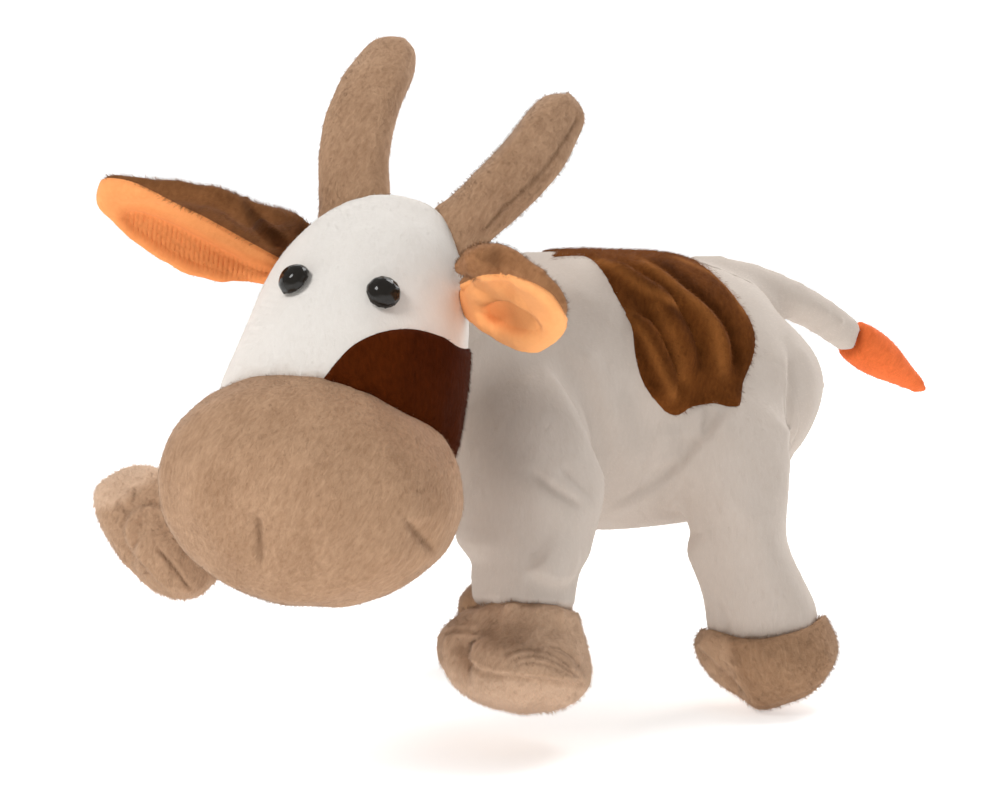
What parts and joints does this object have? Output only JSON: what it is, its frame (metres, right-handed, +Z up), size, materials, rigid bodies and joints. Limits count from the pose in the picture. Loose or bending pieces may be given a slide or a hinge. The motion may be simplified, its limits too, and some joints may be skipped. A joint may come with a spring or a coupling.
{
  "type": "cow hand puppet",
  "caption": "Plush cow glove puppet: a hollow body sleeve opens at the rump for a hand, fingers work the turning head and front legs, and the hind legs, ears and tail swing.",
  "frame": {"origin": "centre of the hand opening, in the plane of its hem", "axes": "+Z up, the cow faces -Y, +X to its left"},
  "size_m": [0.2012, 0.3633, 0.2129],
  "materials": {
    "cream_plush": "short pile",
    "brown_plush": "short pile",
    "beige_plush": "short pile",
    "orange_plush": "short pile",
    "lining_cloth": "plain weave",
    "filling": "loose fibre",
    "eye_plastic": "gloss",
    "washer_plastic": "matte"
  },
  "bodies": {
    "torso": {"body_sleeve": "cream_plush", "hand_lining": "lining_cloth", "opening_hem": "cream_plush", "saddle_patch": "brown_plush"},
    "neck": {"neck_lining": "lining_cloth"},
    "head": {"head_cover": "cream_plush", "head_filling": "filling", "muzzle": "beige_plush", "finger_pocket": "lining_cloth", "face_patch": "brown_plush", "eye_left": "eye_plastic", "eye_right": "eye_plastic", "eye_washer_left": "washer_plastic", "eye_washer_right": "washer_plastic", "horn_left": "beige_plush", "horn_right": "beige_plush"},
    "left_ear": {"ear_left_back": "brown_plush", "ear_left_lining": "orange_plush"},
    "right_ear": {"ear_right_back": "brown_plush", "ear_right_lining": "orange_plush"},
    "left_front_limb": {"front_leg_left": "cream_plush", "front_hoof_left": "beige_plush", "front_sole_left": "beige_plush"},
    "right_front_limb": {"front_leg_right": "cream_plush", "front_hoof_right": "beige_plush", "front_sole_right": "beige_plush"},
    "left_hind_limb": {"hind_leg_left": "cream_plush", "hind_hoof_left": "beige_plush", "hind_sole_left": "beige_plush"},
    "right_hind_limb": {"hind_leg_right": "cream_plush", "hind_hoof_right": "beige_plush", "hind_sole_right": "beige_plush"},
    "tail_limb": {"tail": "cream_plush", "tail_tip": "orange_plush"}
  },
  "joints": [
    {"name": "head_turn", "type": "hinge", "parent": "torso", "child": "neck", "pos_m": [0, -0.153, 0.036], "axis": [0, 0, 1], "range_deg": [-30, 12], "stiffness_Nm_per_rad": 0.3},
    {"name": "head_nod", "type": "hinge", "parent": "neck", "child": "head", "pos_m": [0, -0.153, 0.036], "axis": [0.8552, 0.5038, -0.1219], "range_deg": [-18, 8], "stiffness_Nm_per_rad": 1},
    {"name": "ear_left_flap", "type": "hinge", "parent": "head", "child": "left_ear", "pos_m": [0.04305, -0.17267, 0.05782], "axis": [-0.2272, -0.594, 0.7717], "range_deg": [-18, 18], "stiffness_Nm_per_rad": 0.03},
    {"name": "ear_right_flap", "type": "hinge", "parent": "head", "child": "right_ear", "pos_m": [0.00158, -0.19711, 0.06373], "axis": [0.7763, -0.1064, 0.6214], "range_deg": [-18, 18], "stiffness_Nm_per_rad": 0.03},
    {"name": "front_leg_left_raise", "type": "hinge", "parent": "torso", "child": "left_front_limb", "pos_m": [0.03387, -0.1384, 0.01398], "axis": [1, 0, 0], "range_deg": [-15, 20], "stiffness_Nm_per_rad": 0.15},
    {"name": "front_leg_right_raise", "type": "hinge", "parent": "torso", "child": "right_front_limb", "pos_m": [-0.03129, -0.14702, 0.01918], "axis": [1, 0, 0], "range_deg": [-25, 50], "stiffness_Nm_per_rad": 0.15},
    {"name": "hind_leg_left_swing", "type": "hinge", "parent": "torso", "child": "left_hind_limb", "pos_m": [0.04433, -0.05953, 0.00653], "axis": [1, 0, 0], "range_deg": [-15, 25], "stiffness_Nm_per_rad": 0.15},
    {"name": "hind_leg_right_swing", "type": "hinge", "parent": "torso", "child": "right_hind_limb", "pos_m": [-0.04433, -0.05953, 0.00653], "axis": [1, 0, 0], "range_deg": [-15, 25], "stiffness_Nm_per_rad": 0.15},
    {"name": "tail_wag", "type": "hinge", "parent": "torso", "child": "tail_limb", "pos_m": [0, -0.02534, 0.05807], "axis": [0, 0, 1], "range_deg": [-35, 35], "stiffness_Nm_per_rad": 0.05}
  ]
}
